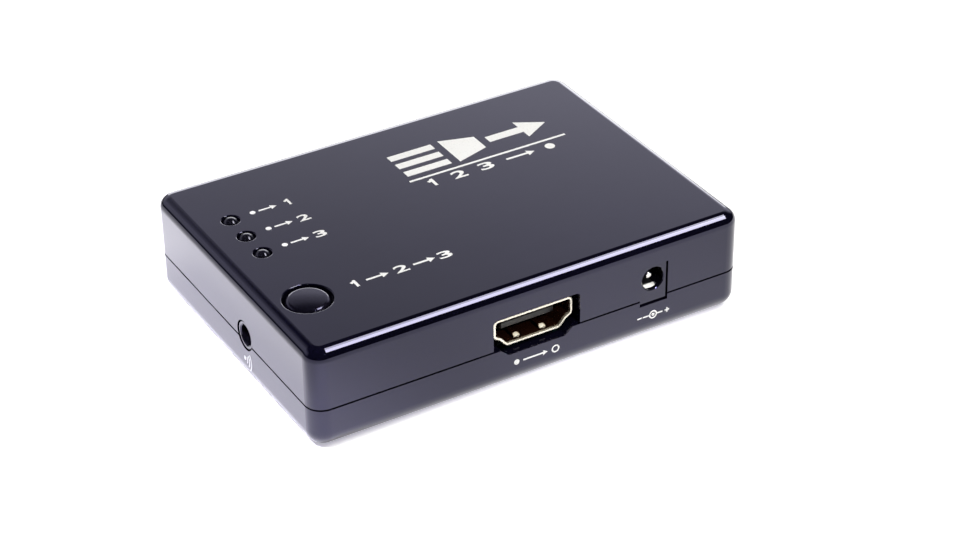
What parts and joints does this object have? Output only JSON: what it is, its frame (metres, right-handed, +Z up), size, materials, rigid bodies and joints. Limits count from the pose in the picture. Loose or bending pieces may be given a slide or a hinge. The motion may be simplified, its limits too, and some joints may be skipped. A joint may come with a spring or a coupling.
{
  "type": "video input switch",
  "caption": "Low black plastic box that switches video inputs to one output, with indicator lights and a round button on top and sockets in its edges.",
  "frame": {"origin": "centre of the underside, on the surface that the box stands on", "axes": "+X along the long side to the right as the output socket is seen, +Y from the output socket's side to the input sockets' side, +Z up"},
  "size_m": [0.08, 0.057, 0.0186],
  "materials": {
    "case_plastic": "polished black injection-moulded plastic",
    "button_plastic": "satin black plastic",
    "board": "green solder mask over glass fibre board",
    "socket_metal": "gold-plated folded sheet",
    "socket_plastic": "black moulded insulator",
    "contact_metal": "gold-plated strip",
    "jack_plastic": "black moulded plastic",
    "plated_metal": "bright nickel plating",
    "lens": "dark clear epoxy",
    "lead_metal": "tinned steel lead",
    "screw_steel": "zinc-plated steel",
    "switch_plastic": "black moulded plastic",
    "switch_metal": "stainless sheet",
    "chip_plastic": "black moulding compound",
    "ceramic": "brown ceramic with tinned ends",
    "resistor": "black film on ceramic"
  },
  "bodies": {
    "housing": {"capacitors": "ceramic", "case_screws": "screw_steel", "circuit_board": "board", "control_chip": "chip_plastic", "control_chip_leads": "lead_metal", "diodes": "chip_plastic", "indicator_leads_1": "lead_metal", "indicator_leads_2": "lead_metal", "indicator_leads_3": "lead_metal", "indicator_lens_1": "lens", "indicator_lens_2": "lens", "indicator_lens_3": "lens", "input_socket_1_contacts": "contact_metal", "input_socket_1_insulator": "socket_plastic", "input_socket_1_shell": "socket_metal", "input_socket_2_contacts": "contact_metal", "input_socket_2_insulator": "socket_plastic", "input_socket_2_shell": "socket_metal", "input_socket_3_contacts": "contact_metal", "input_socket_3_insulator": "socket_plastic", "input_socket_3_shell": "socket_metal", "lower_case": "case_plastic", "output_socket_contacts": "contact_metal", "output_socket_insulator": "socket_plastic", "output_socket_shell": "socket_metal", "power_jack_body": "jack_plastic", "power_jack_pin": "plated_metal", "power_jack_spring": "plated_metal", "regulator": "chip_plastic", "regulator_leads": "lead_metal", "resistors": "resistor", "sensor_jack_body": "jack_plastic", "sensor_jack_contacts": "plated_metal", "switch_base": "switch_plastic", "switch_chip": "chip_plastic", "switch_chip_leads": "lead_metal", "switch_cover": "switch_metal", "switch_dome": "switch_metal", "switch_terminals": "lead_metal", "upper_case": "case_plastic"},
    "button": {"select_button": "button_plastic", "switch_plunger": "switch_plastic"}
  },
  "joints": [
    {"name": "button_press", "type": "slide", "parent": "housing", "child": "button", "axis": [0, 0, -1], "range_m": [0, 0.00025], "stiffness_N_per_m": 6000, "deforming": ["switch_dome"]}
  ]
}
